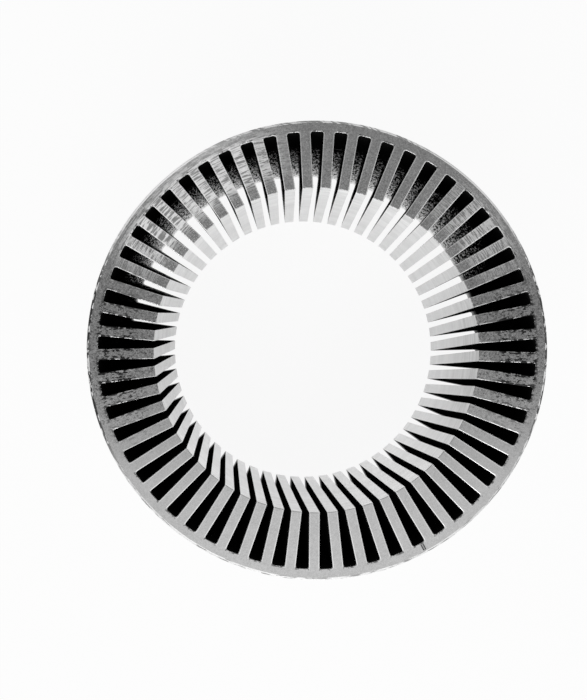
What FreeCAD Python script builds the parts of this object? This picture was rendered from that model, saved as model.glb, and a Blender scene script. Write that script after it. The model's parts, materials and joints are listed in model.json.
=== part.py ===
import FreeCAD, Part
import Sketcher
import math
import os

# Stator lamination stack of an electric motor.
#
# The stack is made of like punched sheets of electrical steel, bonded face to face into one block.
# Each sheet is a narrow yoke ring with straight, parallel-sided teeth that point at the bore, and
# open slots between them. Each is turned a little against the one below, so the slots run as slow
# helices (skew). Both outer rims are chamfered after bonding, across the sheets.
#
# Frame: the axis is +Z, the origin is the centre of the rear face, and the front face is at the top.
# On the front face a slot is centred on +X. Sizes are in millimetres and degrees.

SIZES = (
    ("bore_dia", 105.6, "across the tooth tips, where the rotor turns"),
    ("slot_depth", 18.4, "from the bore to the flat bottom of a slot"),
    ("yoke_width", 3.8, "from the bottom of a slot to the outside, the fit in the housing"),
    ("slot_count", 57, "slots, and so teeth, around the bore"),
    ("tooth_width", 3.5, "the same from root to tip, because the flanks are parallel"),
    ("slot_corner_radius", 0.75, "corners between a slot's flanks and its bottom"),
    ("slot_run_in", 3.0, "how far inside the bore the cut of a slot starts"),
    ("sheet_thickness", 0.5, "one lamination"),
    ("sheet_count", 150, "laminations bonded into the stack"),
    ("skew_angle", 3.1, "turn of the slots from the rear face to the front face"),
    ("rim_chamfer", 0.9, "machined on both rims after bonding, at 45 degrees"),
    ("chamfer_run_out", 0.5, "how far outside the rim the cut of a chamfer ends"),
    ("mark_slot", 47, "slot beside the index mark, counted anticlockwise from +X"),
    ("mark_offset", 0.8, "index mark to the middle of that slot, anticlockwise"),
    ("mark_inset", 0.55, "index mark to the bottom of that slot"),
    ("mark_margin", 0.35, "index mark to the chamfer"),
    ("mark_width", 1.1, "index mark, along the rim"),
    ("mark_depth", 0.15, "index mark, pressed into the front lamination"),
)

document = FreeCAD.newDocument("stator_lamination_stack")
sheet = document.addObject("Spreadsheet::Sheet", "sizes")
for row, (alias, value, note) in enumerate(SIZES, start=1):
    sheet.set(f"A{row}", note)
    sheet.set(f"B{row}", str(value))
    sheet.setAlias(f"B{row}", alias)
document.recompute()

BORE_RADIUS = "sizes.bore_dia / 2"
SLOT_REACH = "sizes.bore_dia / 2 + sizes.slot_depth"
OUTER_RADIUS = "sizes.bore_dia / 2 + sizes.slot_depth + sizes.yoke_width"
REAR_FACE = "0"
FRONT_FACE = "sizes.sheet_thickness * sizes.sheet_count"
REAR_TURN = "-sizes.skew_angle"
FRONT_TURN = "0"


def size(alias):
    """Value of one cell, as a plain number."""
    return float(sheet.get(alias))


# The same radii as numbers, for where the geometry of a sketch starts.
BORE = size("bore_dia") / 2
SLOT_BOTTOM = BORE + size("slot_depth")
OUTSIDE = SLOT_BOTTOM + size("yoke_width")


def origin_feature(body, role):
    """One of the body's own origin planes or axes, found by its role."""
    return next(item for item in body.Origin.OriginFeatures if item.Role == role)


def new_sketch(body, name, plane="XY_Plane", height="0", turn="0"):
    """Sketch on an origin plane of the body, lifted along the plane's normal and turned about it."""
    sketch = body.newObject("Sketcher::SketchObject", name)
    sketch.AttachmentSupport = (origin_feature(body, plane), [""])
    sketch.MapMode = "FlatFace"
    sketch.setExpression("AttachmentOffset.Base.z", f"1 mm * ({height})")
    sketch.setExpression("AttachmentOffset.Rotation.Angle", f"1 deg * ({turn})")
    return sketch


def bind(sketch, constraint, name, expression):
    """Adds a driving constraint and binds it to the sheet."""
    index = sketch.addConstraint(constraint)
    sketch.renameConstraint(index, name)
    sketch.setExpression(f"Constraints.{name}", expression)


def bind_point(sketch, geometry, point, name, across, along):
    """Holds a point of the geometry at two distances from the sketch's origin."""
    position = sketch.getPoint(geometry, point)
    bind(sketch, Sketcher.Constraint("DistanceX", -1, 1, geometry, point, position.x),
         f"{name}_x", f"1 mm * ({across})")
    bind(sketch, Sketcher.Constraint("DistanceY", -1, 1, geometry, point, position.y),
         f"{name}_y", f"1 mm * ({along})")


def cut(body, feature):
    """Makes a cut the body's result, and makes sure that it takes material away."""
    volume_before = body.Shape.Volume
    body.Tip = feature
    document.recompute()
    if body.Shape.Volume >= volume_before:
        raise RuntimeError(f"{feature.Name} cuts nothing")


def add_ring(body):
    """The blank of the whole stack: a ring from the bore to the outside, without slots."""
    sketch = new_sketch(body, "ring_outline", height=REAR_FACE)
    centre = FreeCAD.Vector(0, 0, 0)
    axis = FreeCAD.Vector(0, 0, 1)
    for name, radius, expression in (("outside", OUTSIDE, OUTER_RADIUS), ("bore", BORE, BORE_RADIUS)):
        circle = sketch.addGeometry(Part.Circle(centre, axis, radius))
        sketch.addConstraint(Sketcher.Constraint("Coincident", circle, 3, -1, 1))
        bind(sketch, Sketcher.Constraint("Radius", circle, radius), name, f"1 mm * ({expression})")
    ring = body.newObject("PartDesign::Pad", "ring")
    ring.Profile = sketch
    ring.setExpression("Length", f"1 mm * ({FRONT_FACE})")
    body.Tip = ring
    document.recompute()


def slot_outline(body, name, height, turn):
    """Outline of one slot at a height, wider at its bottom, because the teeth keep their width.

    Each flank lies half a tooth's width from its tooth's middle line, which passes through the axis.
    """
    half_pitch = math.pi / size("slot_count")
    radius = size("slot_corner_radius")
    start = BORE - size("slot_run_in")

    def half_width(reach, inset=0.0):
        return (reach * math.sin(half_pitch) - size("tooth_width") / 2 - inset) / math.cos(half_pitch)

    def mirrored(point):
        return FreeCAD.Vector(point.x, -point.y, 0)

    outward = FreeCAD.Vector(1, 0, 0)
    square = FreeCAD.Vector(-math.sin(half_pitch), math.cos(half_pitch), 0)
    centre_reach = SLOT_BOTTOM - radius
    centre = FreeCAD.Vector(centre_reach, half_width(centre_reach, radius), 0)
    mouth = FreeCAD.Vector(start, half_width(start), 0)
    flank_end = centre + square * radius
    bend = centre + (square + outward).normalize() * radius
    bottom_end = centre + outward * radius

    sketch = new_sketch(body, name, height=height, turn=turn)
    low_flank, low_corner, base, corner, flank, opening = sketch.addGeometry([
        Part.LineSegment(mirrored(mouth), mirrored(flank_end)),
        Part.Arc(mirrored(flank_end), mirrored(bend), mirrored(bottom_end)),
        Part.LineSegment(mirrored(bottom_end), bottom_end),
        Part.Arc(bottom_end, bend, flank_end),
        Part.LineSegment(mouth, flank_end),
        Part.LineSegment(mouth, mirrored(mouth)),
    ])
    sketch.addConstraint([
        Sketcher.Constraint("Tangent", low_flank, 2, low_corner, 1),
        Sketcher.Constraint("Tangent", low_corner, 2, base, 1),
        Sketcher.Constraint("Tangent", base, 2, corner, 1),
        Sketcher.Constraint("Tangent", corner, 2, flank, 2),
        Sketcher.Constraint("Coincident", flank, 1, opening, 1),
        Sketcher.Constraint("Coincident", opening, 2, low_flank, 1),
        Sketcher.Constraint("Symmetric", flank, 1, low_flank, 1, -1),
        Sketcher.Constraint("Symmetric", flank, 2, low_flank, 2, -1),
        Sketcher.Constraint("Vertical", base),
    ])
    bind(sketch, Sketcher.Constraint("Angle", flank, half_pitch),
         "half_pitch", "180 deg / sizes.slot_count")
    bind(sketch, Sketcher.Constraint("Distance", -1, 1, flank, size("tooth_width") / 2),
         "half_tooth", "1 mm * sizes.tooth_width / 2")
    bind(sketch, Sketcher.Constraint("Radius", corner, radius),
         "corner_radius", "1 mm * sizes.slot_corner_radius")
    bind(sketch, Sketcher.Constraint("DistanceX", -1, 1, base, 1, SLOT_BOTTOM),
         "bottom", f"1 mm * ({SLOT_REACH})")
    bind(sketch, Sketcher.Constraint("DistanceX", -1, 1, flank, 1, start),
         "start", f"1 mm * ({BORE_RADIUS} - sizes.slot_run_in)")
    return sketch


def run_slots(body):
    """One slot that turns on its way up, as that of many sheets turned step by step, and its copies."""
    slot = body.newObject("PartDesign::SubtractiveLoft", "slot")
    slot.Profile = slot_outline(body, "rear_slot_outline", REAR_FACE, REAR_TURN)
    slot.Sections = [slot_outline(body, "front_slot_outline", FRONT_FACE, FRONT_TURN)]
    slot.Ruled = True
    cut(body, slot)
    slots = body.newObject("PartDesign::PolarPattern", "slots")
    slots.Originals = [slot]
    slots.Axis = (origin_feature(body, "Z_Axis"), [""])
    slots.Angle = 360
    slots.setExpression("Occurrences", "sizes.slot_count")
    cut(body, slots)


def chamfer_rim(body, name, face, direction):
    """45 degree chamfer on the outer rim at an end face, turned as one cut through the sheets.

    direction is +1 where that face looks up and -1 where it looks down.
    """
    sketch = new_sketch(body, f"{name}_outline", plane="XZ_Plane")
    run_out = size("chamfer_run_out")
    depth = size("rim_chamfer")
    inner = FreeCAD.Vector(OUTSIDE - depth, 0, 0)
    outer = FreeCAD.Vector(OUTSIDE + run_out, 0, 0)
    low = FreeCAD.Vector(OUTSIDE + run_out, -direction * (depth + run_out), 0)
    top, side, slope = sketch.addGeometry([
        Part.LineSegment(inner, outer),
        Part.LineSegment(outer, low),
        Part.LineSegment(low, inner),
    ])
    sketch.addConstraint([
        Sketcher.Constraint("Coincident", top, 2, side, 1),
        Sketcher.Constraint("Coincident", side, 2, slope, 1),
        Sketcher.Constraint("Coincident", slope, 2, top, 1),
    ])
    outer_reach = f"{OUTER_RADIUS} + sizes.chamfer_run_out"
    drop = f"{direction} * (sizes.rim_chamfer + sizes.chamfer_run_out)"
    bind_point(sketch, top, 1, "inner", f"{OUTER_RADIUS} - sizes.rim_chamfer", face)
    bind_point(sketch, top, 2, "outer", outer_reach, face)
    bind_point(sketch, side, 2, "low", outer_reach, f"{face} - {drop}")
    chamfer = body.newObject("PartDesign::Groove", f"{name}_chamfer")
    chamfer.Profile = sketch
    chamfer.ReferenceAxis = (origin_feature(body, "Z_Axis"), [""])
    chamfer.Angle = 360
    cut(body, chamfer)


def press_index_mark(body):
    """Small flat mark in the yoke beside one slot of the front face, to turn the stack by."""
    turn = "sizes.mark_slot * 360 / sizes.slot_count"
    sketch = new_sketch(body, "index_mark_outline", height=FRONT_FACE, turn=turn)
    near = SLOT_BOTTOM + size("mark_inset")
    far = OUTSIDE - size("rim_chamfer") - size("mark_margin")
    right = size("mark_offset") - size("mark_width") / 2
    left = size("mark_offset") + size("mark_width") / 2
    corners = [FreeCAD.Vector(*xy, 0) for xy in ((near, right), (far, right), (far, left), (near, left))]
    sides = sketch.addGeometry([
        Part.LineSegment(start, end) for start, end in zip(corners, corners[1:] + corners[:1])
    ])
    for line, following in zip(sides, sides[1:] + sides[:1]):
        sketch.addConstraint(Sketcher.Constraint("Coincident", line, 2, following, 1))
    sketch.addConstraint([
        Sketcher.Constraint("Horizontal", sides[0]),
        Sketcher.Constraint("Vertical", sides[1]),
        Sketcher.Constraint("Horizontal", sides[2]),
        Sketcher.Constraint("Vertical", sides[3]),
    ])
    bind_point(sketch, sides[0], 1, "near", f"{SLOT_REACH} + sizes.mark_inset",
               "sizes.mark_offset - sizes.mark_width / 2")
    bind_point(sketch, sides[1], 2, "far", f"{OUTER_RADIUS} - sizes.rim_chamfer - sizes.mark_margin",
               "sizes.mark_offset + sizes.mark_width / 2")
    mark = body.newObject("PartDesign::Pocket", "index_mark")
    mark.Profile = sketch
    mark.setExpression("Length", "1 mm * sizes.mark_depth")
    cut(body, mark)


stack = document.addObject("PartDesign::Body", "lamination_stack")
stack.Label = "lamination_stack"
stack.Placement = FreeCAD.Placement()
add_ring(stack)
chamfer_rim(stack, "rear_rim", REAR_FACE, -1)
chamfer_rim(stack, "front_rim", FRONT_FACE, 1)
run_slots(stack)
press_index_mark(stack)

failed = [item.Name for item in document.Objects if {"Invalid", "Error"} & set(item.State)]
if failed:
    raise RuntimeError(f"failed features: {failed}")
if stack.Shape.isNull() or not stack.Shape.isValid() or len(stack.Shape.Solids) != 1:
    raise RuntimeError(f"{stack.Label} is not one sound solid")

os.makedirs("parts", exist_ok=True)
stack.Shape.exportStep(f"parts/{stack.Label}.step")
box = stack.Shape.BoundBox
print(f"{stack.Label}: {stack.Shape.Volume:.1f} mm3, {box.ZMin:.2f} to {box.ZMax:.2f} mm high")
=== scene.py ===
import json
import math

import bpy
import numpy as np
from mathutils import Matrix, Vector
from mathutils.geometry import delaunay_2d_cdt


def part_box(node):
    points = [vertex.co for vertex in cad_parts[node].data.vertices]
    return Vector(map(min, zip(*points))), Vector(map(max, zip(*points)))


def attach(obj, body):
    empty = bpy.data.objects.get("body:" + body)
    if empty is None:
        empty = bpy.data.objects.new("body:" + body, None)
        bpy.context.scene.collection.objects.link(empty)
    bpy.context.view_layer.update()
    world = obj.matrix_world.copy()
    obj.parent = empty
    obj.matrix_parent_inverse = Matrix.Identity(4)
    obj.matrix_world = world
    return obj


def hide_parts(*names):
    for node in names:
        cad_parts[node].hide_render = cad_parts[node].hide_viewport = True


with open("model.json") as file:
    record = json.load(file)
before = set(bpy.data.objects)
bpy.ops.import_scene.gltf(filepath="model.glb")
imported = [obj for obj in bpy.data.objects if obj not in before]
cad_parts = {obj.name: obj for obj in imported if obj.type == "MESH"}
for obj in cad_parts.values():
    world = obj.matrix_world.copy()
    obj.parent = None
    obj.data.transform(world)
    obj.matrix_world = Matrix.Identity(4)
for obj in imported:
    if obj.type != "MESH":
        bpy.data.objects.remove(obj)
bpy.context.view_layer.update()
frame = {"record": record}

# A stator lamination stack: 150 punched sheets of electrical steel, bonded face to face, each
# turned a little against the one below. Metres; the axis is +Z and the rear face is at z = 0.
# The sheets are made in packs of ten with a fine groove at every joint, and the front sheet,
# which carries the index mark, is a piece of its own.

MM = 0.001
MOUNTS = {mount["name"]: mount for mount in frame["record"]["mounts"]}
low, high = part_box("lamination_stack")
REAR_FACE = low.z
FRONT_FACE = high.z
RIM_RADIUS = min(high.x, high.y, -low.x, -low.y)
BORE_RADIUS = MOUNTS["rotor_bore"]["dims"]["r_mm"] * MM

SLOTS = 57
HALF_PITCH = math.pi / SLOTS
TOOTH_WIDTH = 3.5 * MM
SLOT_BOTTOM = BORE_RADIUS + 18.4 * MM
SLOT_CORNER = 0.75 * MM
SKEW = math.radians(3.1)
RIM_CHAMFER = 0.9 * MM

SHEETS = 150
SHEET = (FRONT_FACE - REAR_FACE) / SHEETS
SHEETS_IN_PACK = 10
SHEET_EDGE = 0.04 * MM
FRONT_EDGE = 0.2 * MM

MARK_SLOT = 47
MARK_NEAR = SLOT_BOTTOM + 0.55 * MM
MARK_FAR = RIM_RADIUS - RIM_CHAMFER - 0.35 * MM
MARK_RIGHT = 0.25 * MM
MARK_LEFT = 1.35 * MM
MARK_DEPTH = 0.15 * MM

CORNER_PARTS = 3
RIM_PARTS = 4
EDGE_BEND = np.radians((0, 22.5, 45, 67.5, 90))
SHARP_ANGLE = math.radians(32)
FILL_NEARNESS = 1e-5

FACE, SLOT_WALL, TOOTH_TIP, RIM, MARK = range(5)


# ---------------------------------------------------------------- outlines

def turned(points, angles):
    """Copies of the points turned about the axis by each angle, one copy after the other."""
    cosine, sine = np.cos(angles)[:, None], np.sin(angles)[:, None]
    x, y = points[:, 0], points[:, 1]
    return np.stack((x * cosine - y * sine, x * sine + y * cosine), axis=-1).reshape(-1, 2)


def around(radius, angles):
    """Points on a circle about the axis, at the angles."""
    return radius * np.column_stack((np.cos(angles), np.sin(angles)))


def slot_outline(inset):
    """Bore side of a sheet, drawn back into the steel by the inset.

    One slot lies on +X. Its flanks run half a tooth's width beside the teeth's middle lines, and a
    quarter arc joins each to the straight bottom. The half from bottom to mouth is mirrored, one
    point is added in the middle of the next tooth's tip, and the whole is turned once a slot.
    """
    half_tooth = TOOTH_WIDTH / 2 - inset
    bore = BORE_RADIUS + inset
    corner = SLOT_CORNER + inset
    centre_x = SLOT_BOTTOM - SLOT_CORNER
    centre_y = (centre_x * math.sin(HALF_PITCH) - half_tooth - corner) / math.cos(HALF_PITCH)
    mouth = HALF_PITCH - math.asin(half_tooth / bore)
    sweep = np.linspace(0, HALF_PITCH + math.pi / 2, CORNER_PARTS + 1)
    arc = (centre_x, centre_y) + around(corner, sweep)
    upper = np.vstack((arc, around(bore, np.array([mouth]))))
    lower = upper[::-1] * (1, -1)
    tip = around(bore, np.array([HALF_PITCH]))
    return turned(np.vstack((lower, upper, tip)), np.arange(SLOTS) * 2 * HALF_PITCH)


def slot_finishes():
    """Finish of the side that starts at each point of slot_outline: slot walls, then half tips."""
    walls = 2 * (CORNER_PARTS + 1) + 1
    return np.tile([SLOT_WALL] * walls + [TOOTH_TIP] * 2, SLOTS)


def rim_outline(radius):
    """Rim of a sheet: a circle with a few points for each slot."""
    return around(radius, np.arange(SLOTS * RIM_PARTS) * 2 * HALF_PITCH / RIM_PARTS)


def mark_outline():
    """Index mark: a rectangle in the yoke beside one slot, anticlockwise."""
    corners = np.array([(MARK_NEAR, MARK_RIGHT), (MARK_FAR, MARK_RIGHT),
                        (MARK_FAR, MARK_LEFT), (MARK_NEAR, MARK_LEFT)])
    return turned(corners, np.array([MARK_SLOT * 2 * HALF_PITCH]))


# ---------------------------------------------------------------- sheets

def levels_of(first, last):
    """Heights of a run of sheets and the inset of the outline at each.

    Every sheet is drawn back by its edge at its rear and its front, so two sheets meet in a V groove.
    The height where a rim's chamfer ends is one more level. The front sheet ends in a quarter round.
    """
    rear = REAR_FACE + np.arange(first, last) * SHEET
    heights = np.concatenate((rear, rear + SHEET_EDGE, rear + SHEET - SHEET_EDGE))
    insets = np.concatenate((np.full(len(rear), SHEET_EDGE), np.zeros(2 * len(rear))))
    kinks = np.array([REAR_FACE + RIM_CHAMFER, FRONT_FACE - RIM_CHAMFER])
    kinks = kinks[(kinks > rear[0]) & (kinks < rear[-1] + SHEET)]
    heights = np.concatenate((heights, kinks))
    insets = np.concatenate((insets, np.zeros(len(kinks))))
    order = np.argsort(heights)
    heights, insets = heights[order], insets[order]
    if last < SHEETS:
        return np.append(heights, rear[-1] + SHEET), np.append(insets, SHEET_EDGE)
    heights = np.concatenate((heights[:-1], FRONT_FACE - FRONT_EDGE * (1 - np.sin(EDGE_BEND))))
    return heights, np.concatenate((insets[:-1], FRONT_EDGE * (1 - np.cos(EDGE_BEND))))


def rim_radius(heights):
    """Radius of the rim: less by the 45 degree chamfer near both end faces."""
    from_end = np.minimum(heights - REAR_FACE, FRONT_FACE - heights)
    return RIM_RADIUS - np.maximum(0, RIM_CHAMFER - from_end)


def twist(heights):
    """Turn of the slots: the skew at the rear face, none at the front face, even in between."""
    return -SKEW * (FRONT_FACE - heights) / (FRONT_FACE - REAR_FACE)


def lifted(outline, height):
    """Points of a flat outline at a height."""
    return np.column_stack((outline, np.full(len(outline), height)))


def wall(rows, count, start):
    """Faces between stacked loops of equal counts, as a grid closed round the axis."""
    here = start + np.arange(rows - 1)[:, None] * count + np.arange(count)
    beside = start + np.arange(rows - 1)[:, None] * count + (np.arange(count) + 1) % count
    return np.stack((here, here + count, beside + count, beside), axis=-1).reshape(-1, 4)


def filled(points, loops, upward):
    """Triangles that fill a flat face whose outer edge and holes are the loops of point numbers."""
    numbers = np.concatenate(loops)
    ends = np.cumsum([0] + [len(loop) for loop in loops])
    edges = [list(range(start, end)) for start, end in zip(ends[:-1], ends[1:])]
    found = delaunay_2d_cdt((points[numbers][:, :2] / MM).tolist(), [], edges, 2, FILL_NEARNESS)
    origins = numbers[np.array([origin[0] for origin in found[3]])]
    triangles = origins[np.array(found[2])]
    corner, second, third = np.moveaxis(points[triangles], 1, 0)
    faces_up = np.cross(second - corner, third - corner)[:, 2] > 0
    return np.where((faces_up == upward)[:, None], triangles, triangles[:, ::-1])


def sheets(name, first, last, finishes):
    """A run of bonded sheets as one closed mesh, turned and chamfered as the stack is there.

    The bore side and the rim are each a stack of loops, joined into walls, and two flat faces close
    them. The front sheet's face has one more hole, the index mark, with its own walls and floor.
    """
    heights, insets = levels_of(first, last)
    rows = len(heights)
    bores = [lifted(turned(slot_outline(inset), np.array([turn])), height)
             for height, inset, turn in zip(heights, insets, twist(heights))]
    radii = rim_radius(heights) - np.minimum(insets, SHEET_EDGE)
    rims = [lifted(rim_outline(radius), height) for height, radius in zip(heights, radii)]
    bore_count, rim_count = len(bores[0]), len(rims[0])
    points = np.vstack(bores + rims)
    rim_start = rows * bore_count
    faces = [wall(rows, bore_count, 0), wall(rows, rim_count, rim_start)[:, ::-1]]
    used = [np.tile(slot_finishes(), rows - 1), np.full(len(faces[1]), RIM)]
    if last == SHEETS:
        used[0][-(len(EDGE_BEND) - 1) * bore_count:] = FACE
    loops = [rim_start + np.arange(rim_count), np.arange(bore_count)]
    round_faces = len(faces[0]) + len(faces[1])
    faces.append(filled(points, loops, False))
    used.append(np.full(len(faces[-1]), FACE))
    loops = [loops[0] + (rows - 1) * rim_count, loops[1] + (rows - 1) * bore_count]
    if last == SHEETS:
        start = len(points)
        mark = mark_outline()
        points = np.vstack((points, lifted(mark, FRONT_FACE - MARK_DEPTH), lifted(mark, FRONT_FACE)))
        faces.append(wall(2, 4, start))
        faces.append(np.array([[start, start + 1, start + 2, start + 3]]))
        used.append(np.full(5, MARK))
        loops.append(start + 4 + np.arange(4))
    faces.append(filled(points, loops, True))
    used.append(np.full(len(faces[-1]), FACE))
    mesh = bpy.data.meshes.new(name)
    mesh.from_pydata(points.tolist(), [], [face for block in faces for face in block.tolist()])
    mesh.polygons.foreach_set("material_index", np.concatenate(used).astype(np.int32))
    for finish in finishes:
        mesh.materials.append(finish)
    mesh.set_sharp_from_angle(angle=SHARP_ANGLE)
    mesh.polygons.foreach_set("use_smooth", np.arange(len(mesh.polygons)) < round_faces)
    mesh.update()
    piece = bpy.data.objects.new(name, mesh)
    bpy.context.scene.collection.objects.link(piece)
    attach(piece, "root")
    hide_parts("lamination_stack")
    return piece


# ---------------------------------------------------------------- shader maths

class Value:
    """A number on a socket; an expression on values adds the Math nodes that work it out."""

    def __init__(self, nodes, socket):
        self.nodes = nodes
        self.socket = socket

    def beside(self, output):
        """What another output of the same node gives."""
        return Value(self.nodes, self.socket.node.outputs[output])

    def math(self, operation, *inputs):
        """A Math node's operation on the inputs, in their order."""
        return self.nodes.node("ShaderNodeMath", {"operation": operation}, dict(enumerate(inputs)))

    def __add__(self, other):
        return self.math("ADD", self, other)

    def __radd__(self, other):
        return self.math("ADD", other, self)

    def __sub__(self, other):
        return self.math("SUBTRACT", self, other)

    def __rsub__(self, other):
        return self.math("SUBTRACT", other, self)

    def __mul__(self, other):
        return self.math("MULTIPLY", self, other)

    def __rmul__(self, other):
        return self.math("MULTIPLY", other, self)

    def __truediv__(self, other):
        return self.math("DIVIDE", self, other)

    def __rtruediv__(self, other):
        return self.math("DIVIDE", other, self)

    def __abs__(self):
        return self.math("ABSOLUTE", self)

    def sine(self):
        return self.math("SINE", self)

    def fraction(self):
        return self.math("FRACT", self)

    def whole(self):
        return self.math("FLOOR", self)

    def least(self, other):
        return self.math("MINIMUM", self, other)

    def most(self, other):
        return self.math("MAXIMUM", self, other)

    def rise(self, start, end, low=0.0, high=1.0):
        """Smooth step from low, where the value is start, to high, where it is end."""
        return self.nodes.node(
            "ShaderNodeMapRange", {"interpolation_type": "SMOOTHSTEP"},
            {"Value": self, "From Min": start, "From Max": end, "To Min": low, "To Max": high})

    def hump(self, centre, spread):
        """1 at the centre, smoothly down to 0 at the spread on either side."""
        return abs(self - centre).rise(0, spread, 1, 0)


class Nodes:
    """A node tree, and the one way in which a node gets into it."""

    def __init__(self, tree):
        self.tree = tree
        tree.nodes.clear()

    def node(self, kind, settings, inputs, output=0):
        """Adds a node: its settings first, then the values or links of its sockets; gives an output."""
        made = self.tree.nodes.new(kind)
        for name, setting in settings.items():
            setattr(made, name, setting)
        for name, given in inputs.items():
            socket = made.inputs[name]
            if isinstance(given, Value):
                self.tree.links.new(given.socket, socket)
            else:
                socket.default_value = given
        return Value(self, made.outputs[output]) if len(made.outputs) else None

    def vector(self, x, y, z):
        """A vector of three numbers."""
        return self.node("ShaderNodeCombineXYZ", {}, {"X": x, "Y": y, "Z": z})

    def parts(self, vector):
        """The three numbers of a vector."""
        x = self.node("ShaderNodeSeparateXYZ", {}, {"Vector": vector})
        return x, x.beside("Y"), x.beside("Z")

    def noise(self, vector, scale, detail=2.0, roughness=0.5):
        """Noise from 0 to 1 with its middle at 0.5; the scale is in grains a millimetre."""
        return self.node(
            "ShaderNodeTexNoise", {"noise_type": "FBM", "noise_dimensions": "3D"},
            {"Vector": vector, "Scale": scale, "Detail": detail, "Roughness": roughness})

    def scaled(self, vector, factor):
        """A vector or colour times a number."""
        return self.node(
            "ShaderNodeVectorMath", {"operation": "SCALE"}, {"Vector": vector, "Scale": factor})


class Place:
    """Where a point of the steel is, in millimetres and degrees, by the stack's own features.

    The angle, turned back by the skew at the point's depth and divided by the slot pitch, counts the
    teeth. What is left over gives the way across from the middle line of the tooth, and half a
    tooth's width less that is the way in from the tooth's flank.
    """

    def __init__(self, nodes):
        position = nodes.node("ShaderNodeTexCoord", {}, {}, output="Object")
        self.point = nodes.scaled(position, 1 / MM)
        self.x, self.y, self.z = nodes.parts(self.point)
        self.radius = nodes.node(
            "ShaderNodeVectorMath", {"operation": "LENGTH"},
            {"Vector": nodes.vector(self.x, self.y, 0.0)}, output="Value")
        self.from_bore = self.radius - BORE_RADIUS / MM
        self.from_rim = RIM_RADIUS / MM - self.radius
        self.depth = FRONT_FACE / MM - self.z
        self.sheet = (self.depth / (SHEET / MM)).whole()
        angle = self.x.math("ARCTAN2", self.y, self.x)
        self.degrees = angle * math.degrees(1)
        self.arc = angle * (BORE_RADIUS / MM)
        turned_back = angle + self.depth * (SKEW / (FRONT_FACE - REAR_FACE) * MM)
        pitch = turned_back / (2 * HALF_PITCH)
        self.tooth = pitch.whole()
        self.across = self.radius * ((pitch.fraction() - 0.5) * (2 * HALF_PITCH)).sine()
        self.from_flank = TOOTH_WIDTH / 2 / MM - abs(self.across)
        self.past_bottom = self.radius - SLOT_BOTTOM / MM
        self.from_slot = self.from_flank.most(self.past_bottom)

    def from_x_axis(self):
        """Angle in degrees from the nearer end of the X axis."""
        turn = abs(self.degrees)
        return turn.least(180 - turn)


# ---------------------------------------------------------------- finishes

NEUTRAL = (1.0, 1.0, 1.0)


def new_finish(name):
    """A material and its empty node tree."""
    material = bpy.data.materials.new(name)
    material.use_nodes = True
    return material, Nodes(material.node_tree)


def bumped(nodes, height, depth):
    """Normal of a surface whose height runs from 0 to 1 over a depth in millimetres."""
    return nodes.node("ShaderNodeBump", {}, {"Height": height, "Strength": 1.0, "Distance": depth * MM})


def finished(nodes, light, roughness, metallic, normal, specular=0.5):
    """Principled shader of a neutral grey with the varying values, and the material's output."""
    inputs = {"Base Color": nodes.scaled(NEUTRAL, light), "Roughness": roughness,
              "Metallic": metallic, "Specular IOR Level": specular}
    if normal is not None:
        inputs["Normal"] = normal
    shader = nodes.node("ShaderNodeBsdfPrincipled", {}, inputs)
    nodes.node("ShaderNodeOutputMaterial", {}, {"Surface": shader})


def smears(nodes, at, near_x):
    """Painted shade on the teeth near the X axis: dark smears ragged along the slots, and flecks in
    between.
    """
    rag = nodes.noise(nodes.vector(at.radius * 0.6, at.across * 1.5, at.tooth * 5.3), 1.0, 2.0, 0.6)
    painted_shade_smear = (rag - at.from_slot * 0.09 + near_x * 0.03).rise(0.475, 0.50)
    painted_shade_smear = painted_shade_smear * at.from_bore.rise(2.2, 8.2) * at.from_rim.rise(2.2, 3.7, 0.25, 1)
    painted_shade_fleck = nodes.noise(at.point, 1.7, 2.0, 0.7).rise(0.57, 0.64)
    return painted_shade_smear * near_x, painted_shade_fleck * near_x * 0.75


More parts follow.
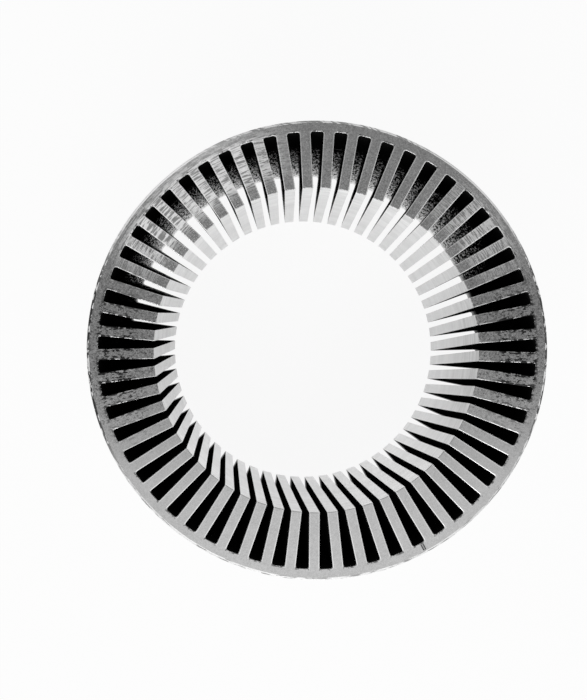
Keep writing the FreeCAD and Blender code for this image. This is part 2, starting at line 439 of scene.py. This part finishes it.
def face_steel():
    """Punched sheet: dull grain, brush dashes across the teeth in zones of painted sheen, edges with a
    painted highlight, dark smears of painted shade.
    """
    material, nodes = new_finish("face_steel")
    at = Place(nodes)
    near_x = at.from_x_axis().rise(34, 8)
    grain = nodes.noise(at.point, 1.9, 3.0, 0.75)
    patches = nodes.noise(at.point, 0.22, 3.0, 0.55)

    # Dashes lie across the teeth on the upper left, fewer on the upper right, and thin out toward
    # the bore and the rim; these zones are painted sheen. A dull painted sheen covers the yoke on the
    # upper left.
    streaks = nodes.noise(nodes.vector(at.radius * 2.7, at.arc * 0.30, at.tooth * 3.7), 1.0, 1.0, 0.5)
    brushed_painted_sheen_zone = at.degrees.hump(126, 44).rise(0.05, 0.7).most(at.degrees.hump(36, 24) * 0.6)
    brushed_painted_sheen_zone = brushed_painted_sheen_zone * at.from_bore.rise(2.2, 7.2, 0.1, 1) * at.from_rim.rise(1.5, 4.5, 0.35, 1)
    dashes = brushed_painted_sheen_zone * streaks.rise(0.42, 0.54)
    dull_painted_sheen = at.degrees.hump(120, 30) * at.from_rim.rise(5, 2) * 0.35

    # Slot edges get a painted highlight, weaker under the painted shade near the X axis and at the slot
    # bottoms, and are torn at the bottoms of the slots.
    painted_shade_smear, painted_shade_fleck = smears(nodes, at, near_x)
    at_bottom = at.past_bottom.rise(-0.6, 0)
    painted_edge_highlight = at.from_slot.rise(0.42, 0.2) * (1 - painted_shade_smear) * (1 - at_bottom * 0.7) * (1 - near_x * 0.6)
    torn = nodes.noise(at.point, 1.1, 2.0, 0.6).rise(0.50, 0.56)
    torn = torn * at.past_bottom.hump(0.1, 0.6).rise(0.1, 0.4) * at.from_flank.rise(0.3, 0)

    coarse = at.y.rise(-35, 0, 0.45, 1.0) * (1 - brushed_painted_sheen_zone * 0.6)
    light = 0.55 + (grain - 0.5) * coarse + (patches - 0.5) * 0.12
    light = light + dashes * 0.42 + dull_painted_sheen * 0.3 + painted_edge_highlight * 0.42
    light = light * (1 - painted_shade_smear.most(painted_shade_fleck).most(torn * 0.7) * 0.94)
    roughness = 0.20 + (grain - 0.5) * coarse * 0.3
    roughness = roughness + brushed_painted_sheen_zone * 0.10 + dashes * 0.42 + dull_painted_sheen * 0.5 + painted_shade_smear * 0.3
    height = grain * 0.5 + streaks * brushed_painted_sheen_zone
    finished(nodes, light, roughness, 1.0, bumped(nodes, height, 0.003))
    return material


def slot_wall():
    """Punched wall in the slots: dark steel painted almost black as shade, with bright flecks toward the
    rear face that are metal with painted glints, and a painted light at the rear end.
    """
    material, nodes = new_finish("slot_wall")
    at = Place(nodes)
    flecks = nodes.noise(nodes.vector(at.radius, at.arc, at.z * 0.3), 1.7, 2.0, 0.7)
    clouds = nodes.noise(at.point, 0.5, 2.0, 0.5)
    # Painted light: flecks brighten deeper in and in the upper half, and the rear end is painted
    # lighter, less so near the X axis.
    rear = at.depth.rise(16, 72) * at.degrees.hump(92, 95).rise(0.12, 0.45)
    flecks_and_painted_glints = (flecks + (clouds - 0.5) * 0.3 + rear * 0.12).rise(0.555, 0.61) * rear.rise(0.0, 0.12)
    painted_rear_light = at.depth.rise(66, 77) * at.from_x_axis().rise(5, 20, 0.4, 1)
    flecks_and_painted_glints = flecks_and_painted_glints.most(painted_rear_light)
    light = 0.008 + flecks_and_painted_glints * (0.30 + rear * 0.45) + painted_rear_light * 0.3
    finished(nodes, light, 0.8 - flecks_and_painted_glints * 0.35, flecks_and_painted_glints.rise(0, 0.3), None, specular=0.0)
    return material


def tooth_tip():
    """Ground bore: light steel with a faint line a sheet and a few broader bands across the tips."""
    material, nodes = new_finish("tooth_tip")
    at = Place(nodes)
    grain = nodes.noise(at.point, 1.6, 3.0, 0.6)
    by_sheet = nodes.noise(nodes.vector(at.sheet * 0.73, at.tooth * 0.05, 0.0), 1.0, 1.0, 0.5)
    bands = nodes.noise(nodes.vector(at.z * 0.11, at.tooth * 0.31, 0.0), 1.0, 2.0, 0.5)
    lines = nodes.noise(nodes.vector(at.z * 0.42, at.across * 0.1, at.tooth * 1.7), 1.0, 2.0, 0.7)

    # Painted shade where the X axis passes, most of all near the front, and painted highlight at the
    # lower corners.
    painted_tip_shade = abs(at.degrees + 5).rise(75, 0) * at.depth.rise(55, 0, 0.35, 1)
    painted_tip_shade = painted_tip_shade.most(abs(abs(at.degrees) - 180).rise(40, 0) * 0.6)
    bright = at.degrees.hump(-50, 40) + at.degrees.hump(-135, 35)

    light = 0.79 + bright * 0.09 - painted_tip_shade * 0.26 + (grain - 0.5) * 0.07
    light = light + (by_sheet - 0.5) * 0.10 + (bands - 0.5) * 0.22
    light = light + (lines - 0.5) * 0.5 * at.depth.rise(40, 4, 0.25, 1)
    roughness = 0.34 + (grain - 0.5) * 0.15 + (lines - 0.5) * 0.1
    finished(nodes, light, roughness, 1.0, bumped(nodes, grain * 0.4 + by_sheet, 0.006))
    return material


def rim_steel():
    """Machined rim: cut sheet edges with fine turning lines and a dark joint between the sheets."""
    material, nodes = new_finish("rim_steel")
    at = Place(nodes)
    chamfer = at.depth.rise(1.3, 0.9)
    grain = nodes.noise(at.point, 2.2, 3.0, 0.65)
    by_sheet = nodes.noise(nodes.vector(at.sheet * 0.73, at.arc * 0.03, 0.0), 1.0, 1.0, 0.5)
    drag = nodes.noise(nodes.vector(at.arc * 0.09, at.z * 1.9, 0.0), 1.0, 3.0, 0.6)
    joint = (at.depth / (SHEET / MM)).fraction()
    joint = joint.least(1 - joint).rise(0.16, 0.04)

    # The front chamfer: black blots of painted shade near the X axis, a hatch at the top, rubbed dashes
    # at the bottom, and a painted highlight at the bottom and on the upper left.
    near_x = at.from_x_axis().rise(42, 14)
    painted_shade_blot = nodes.noise(nodes.vector(at.arc * 0.5, at.z, at.radius * 0.8), 1.1, 2.0, 0.6)
    painted_shade_blot = (painted_shade_blot + near_x * 0.05).rise(0.495, 0.52) * near_x * chamfer
    hatch = nodes.noise(nodes.vector(at.arc * 0.8 + at.z * 0.9, at.radius * 0.3, 0.0), 1.0, 2.0, 0.6)
    hatch = hatch.rise(0.47, 0.55) * at.degrees.hump(88, 42).rise(0, 0.5) * chamfer
    rub = nodes.noise(nodes.vector(at.arc * 0.3, at.z * 2.2, 0.0), 1.0, 2.0, 0.6).rise(0.52, 0.58)
    rub = rub * at.degrees.hump(-90, 80).rise(0, 0.3) * chamfer
    pale = (at.degrees.hump(-90, 70) + at.degrees.hump(132, 34)) * chamfer

    light = 0.74 + (grain - 0.5) * 0.4 + (by_sheet - 0.5) * 0.22 + (drag - 0.5) * 0.3 + pale * 0.2
    light = light * (1 - joint * 0.3) * (1 - painted_shade_blot * 0.95) * (1 - hatch.most(rub) * 0.6)
    roughness = 0.33 + (grain - 0.5) * 0.2 + joint * 0.2
    finished(nodes, light, roughness, 1.0, bumped(nodes, grain * 0.4 + by_sheet - joint, 0.008))
    return material


def index_mark():
    """Pressed mark: dark with painted shade of the recess, and a painted highlight along its middle."""
    material, nodes = new_finish("index_mark")
    at = Place(nodes)
    grain = nodes.noise(at.point, 3.0, 2.0, 0.6)
    slot_degrees = MARK_SLOT * 360 / SLOTS - 360
    aside = (at.degrees - slot_degrees) * math.radians(MARK_NEAR / MM)
    painted_lit_middle = aside.hump((MARK_LEFT + MARK_RIGHT) / 2 / MM, 0.28)
    # Painted shade in the recess, lighter along the middle as a painted highlight.
    light = 0.10 + painted_lit_middle * 0.42 + (grain - 0.5) * 0.12
    finished(nodes, light, 0.45, 1.0, bumped(nodes, grain, 0.01))
    return material


FINISHES = [face_steel(), slot_wall(), tooth_tip(), rim_steel(), index_mark()]

for pack in range(SHEETS // SHEETS_IN_PACK):
    first = pack * SHEETS_IN_PACK
    last = min(first + SHEETS_IN_PACK, SHEETS - 1)
    sheets(f"lamination_pack_{pack + 1:02d}", first, last, FINISHES)
sheets("front_lamination", SHEETS - 1, SHEETS, FINISHES)


# ---------------------------------------------------------------- studio

FLOOR_REACH = 3
FLOOR_GLOW = 0.92
LAMP_SIZE = (0.8, 0.5)
LAMP_POWER = 4
LAMP_PLACE = (-0.25, -0.9, 0.75)
LAMP_TILT = math.radians(52)
LENS = 43.59
LENS_SHIFT = (0.08541, -0.01005)
CAMERA_PLACE = (-0.020282, 0.001730, 0.35133)
CAMERA_TILTS = (math.radians(0.129), math.radians(1.326), math.radians(-1.169))


def white_floor():
    """Pale floor: seen directly or in the metal it is white, and it keeps a share of the shadow."""
    material, nodes = new_finish("white_floor")
    camera_ray = nodes.node("ShaderNodeLightPath", {}, {}, output="Is Camera Ray")
    seen = camera_ray.most(camera_ray.beside("Is Glossy Ray"))
    seen = seen.most(camera_ray.beside("Is Transmission Ray"))
    matte = nodes.node("ShaderNodeBsdfDiffuse", {}, {"Color": (0.9, 0.9, 0.9, 1)})
    glow = nodes.node("ShaderNodeEmission", {}, {"Color": (1, 1, 1, 1), "Strength": 1.0})
    mixed = nodes.node("ShaderNodeMixShader", {}, {0: seen * FLOOR_GLOW, 1: matte, 2: glow})
    nodes.node("ShaderNodeOutputMaterial", {}, {"Surface": mixed})
    return material


def studio_light():
    """Light from all round, by the direction it comes from.

    Overhead it is bright toward -Y and dim toward +Y. Lower down it turns into pale walls.
    """
    world = bpy.data.worlds.new("studio")
    bpy.context.scene.world = world
    world.use_nodes = True
    nodes = Nodes(world.node_tree)
    direction = nodes.node("ShaderNodeTexCoord", {}, {}, output="Generated")
    x, y, z = nodes.parts(direction)
    overhead = y.rise(-0.02, -0.17, 0.21, 0.95) + y.rise(0.0, 0.13, 0.0, 0.14)
    walls = z.rise(0.75, 0.25)
    level = overhead * (1 - walls) + walls * y.rise(0.1, -0.7, 0.66, 0.95)
    background = nodes.node(
        "ShaderNodeBackground", {}, {"Color": nodes.scaled(NEUTRAL, level), "Strength": 1.0})
    nodes.node("ShaderNodeOutputWorld", {}, {"Surface": background})


floor_corners = lifted(FLOOR_REACH * np.array([(-1, -1), (1, -1), (1, 1), (-1, 1)]), REAR_FACE)
floor_mesh = bpy.data.meshes.new("floor")
floor_mesh.from_pydata(floor_corners.tolist(), [], [range(4)])
floor_mesh.materials.append(white_floor())
floor = bpy.data.objects.new("floor", floor_mesh)
bpy.context.scene.collection.objects.link(floor)

studio_light()

lamp = bpy.data.lights.new("key", "AREA")
lamp.shape = "RECTANGLE"
lamp.size, lamp.size_y = LAMP_SIZE
lamp.energy = LAMP_POWER
key = bpy.data.objects.new("key", lamp)
bpy.context.scene.collection.objects.link(key)
key.matrix_world = Matrix.Translation(LAMP_PLACE) @ Matrix.Rotation(LAMP_TILT, 4, "X")

camera_data = bpy.data.cameras.new("camera")
camera_data.lens = LENS
camera_data.shift_x, camera_data.shift_y = LENS_SHIFT
camera = bpy.data.objects.new("camera", camera_data)
bpy.context.scene.collection.objects.link(camera)
tilt_x, tilt_y, tilt_z = CAMERA_TILTS
camera.matrix_world = (
    Matrix.Rotation(tilt_z, 4, "Z")
    @ Matrix.Translation(CAMERA_PLACE)
    @ Matrix.Rotation(tilt_y, 4, "Y")
    @ Matrix.Rotation(tilt_x, 4, "X")
)
bpy.context.scene.camera = camera
bpy.context.scene.view_settings.view_transform = "Standard"
